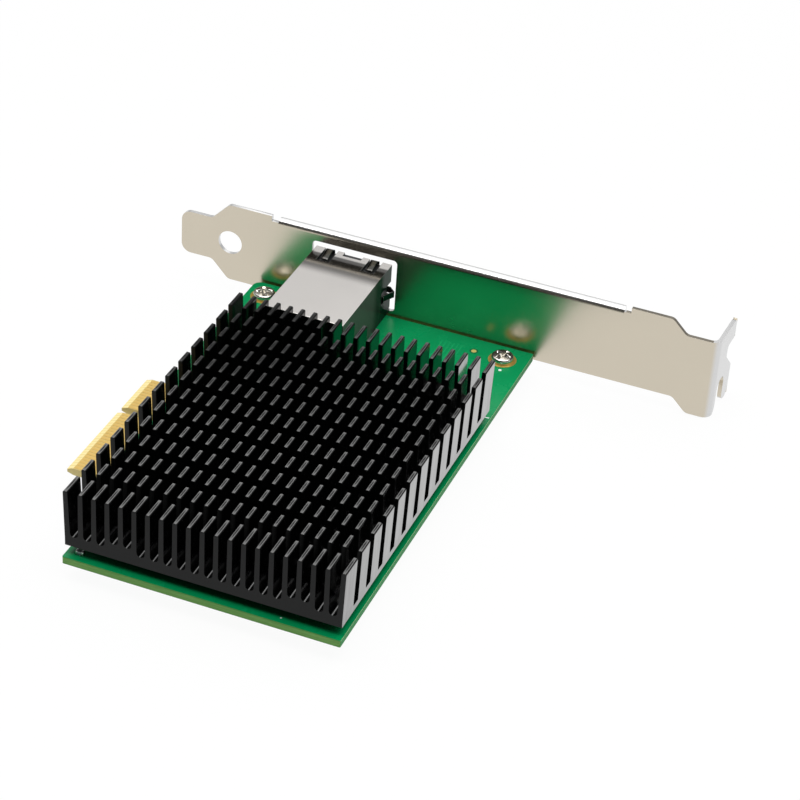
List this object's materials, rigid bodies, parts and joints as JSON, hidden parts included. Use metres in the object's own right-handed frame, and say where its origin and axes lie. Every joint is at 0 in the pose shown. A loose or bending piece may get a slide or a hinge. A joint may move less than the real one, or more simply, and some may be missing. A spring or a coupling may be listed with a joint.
{
  "type": "network interface card",
  "caption": "Network interface card: a small circuit board with a folded bracket, a network socket, a gold card edge and a black finned heat sink.",
  "frame": {"origin": "end of the card edge, at the centre of its key slot, level with the board's component face", "axes": "+X up the card, away from the card edge; +Y along the card towards the bracket; +Z out of the component face"},
  "size_m": [0.1212, 0.116, 0.0216],
  "materials": {
    "bracket_steel": "satin nickel plate",
    "screw_steel": "satin nickel plate",
    "board_laminate": "green solder mask over glass-fibre laminate",
    "contact_gold": "gold plate",
    "sink_aluminium": "black anodised",
    "spacer_plastic": "moulded",
    "shield_steel": "bright tinned sheet",
    "housing_plastic": "moulded black",
    "potting_plastic": "moulded black",
    "solder_pins": "tinned",
    "light_plastic": "clear",
    "chip_moulding": "moulded black",
    "pad_rubber": "soft grey",
    "crystal_can": "satin can",
    "ferrite": "grey ferrite",
    "ceramic": "tan ceramic"
  },
  "bodies": {
    "root": {"bracket": "bracket_steel", "bracket_screws": "screw_steel", "circuit_board": "board_laminate", "edge_contacts_component_side": "contact_gold", "edge_contacts_solder_side": "contact_gold", "screw_pads_component_side": "contact_gold", "screw_pads_solder_side": "contact_gold", "heatsink": "sink_aluminium", "heatsink_screws": "screw_steel", "heatsink_spacers": "spacer_plastic", "heatsink_washers": "spacer_plastic", "jack_shield": "shield_steel", "jack_housing": "housing_plastic", "jack_wires": "contact_gold", "jack_magnetics": "potting_plastic", "jack_pins": "solder_pins", "jack_light_pipes": "light_plastic", "controller_chip": "chip_moulding", "controller_thermal_pad": "pad_rubber", "memory_chip": "chip_moulding", "crystal": "crystal_can", "power_inductors": "ferrite", "regulator_chips": "chip_moulding", "ceramic_capacitors": "ceramic", "edge_capacitor": "ceramic", "rear_capacitors": "ceramic"}
  },
  "joints": []
}
